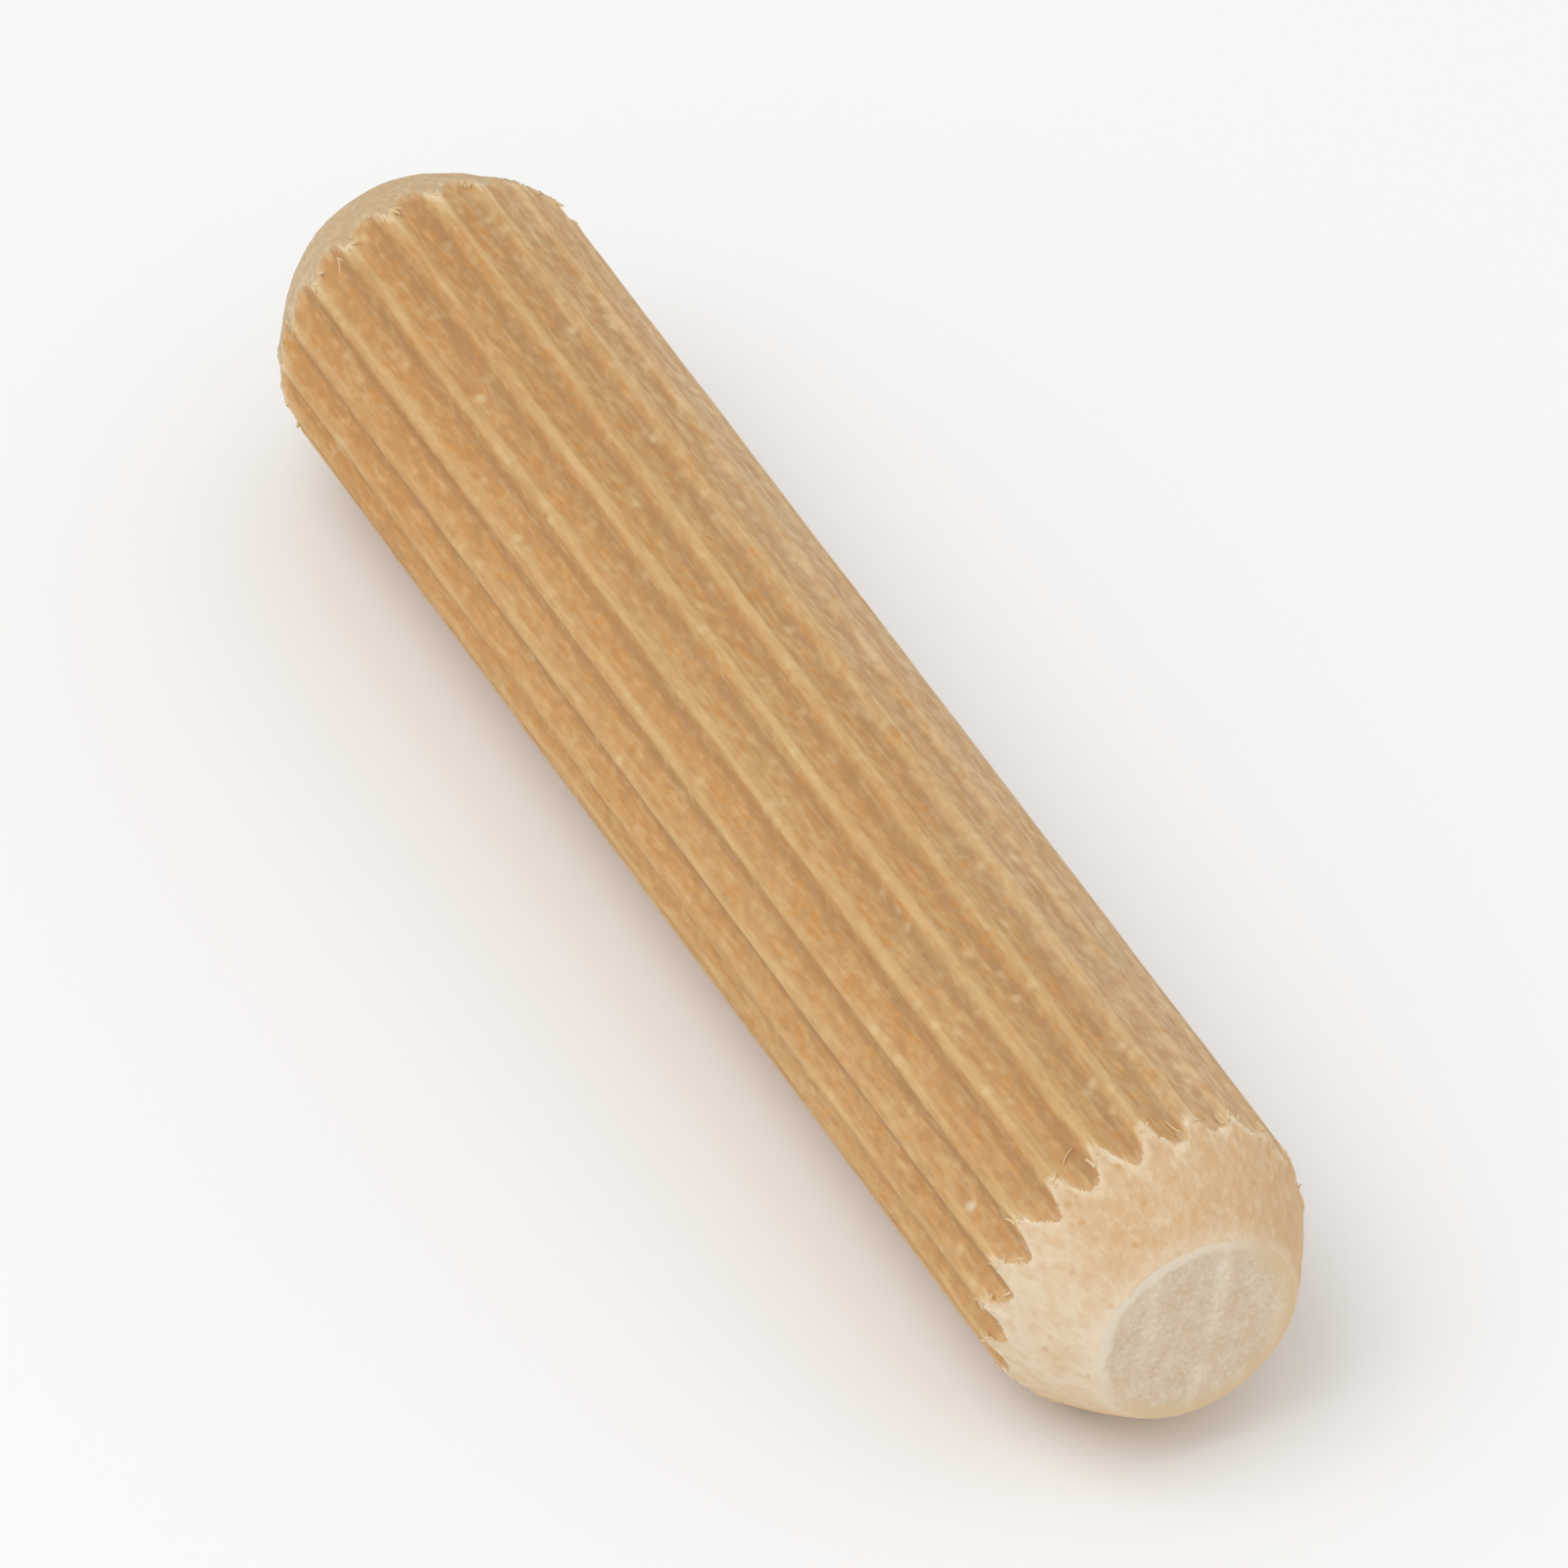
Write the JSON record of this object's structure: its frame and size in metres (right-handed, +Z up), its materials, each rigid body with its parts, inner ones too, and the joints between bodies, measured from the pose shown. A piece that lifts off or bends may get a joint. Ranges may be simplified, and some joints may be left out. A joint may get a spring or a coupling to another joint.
{
  "type": "fluted dowel pin",
  "caption": "Wooden dowel pin with lengthwise flutes and rounded chamfers, glued into two drilled holes to join boards.",
  "frame": {"origin": "on the surface that the pin lies on, under the middle of its length", "axes": "+X along the pin, +Z up as it lies, with one flute at the very bottom and a crest on each side of it"},
  "size_m": [0.04, 0.008, 0.008],
  "materials": {
    "dowel_wood": "bare matt wood, honey brown flutes with paler fuzzy chamfers and end faces"
  },
  "bodies": {
    "root": {"dowel_pin": "dowel_wood"}
  },
  "joints": []
}
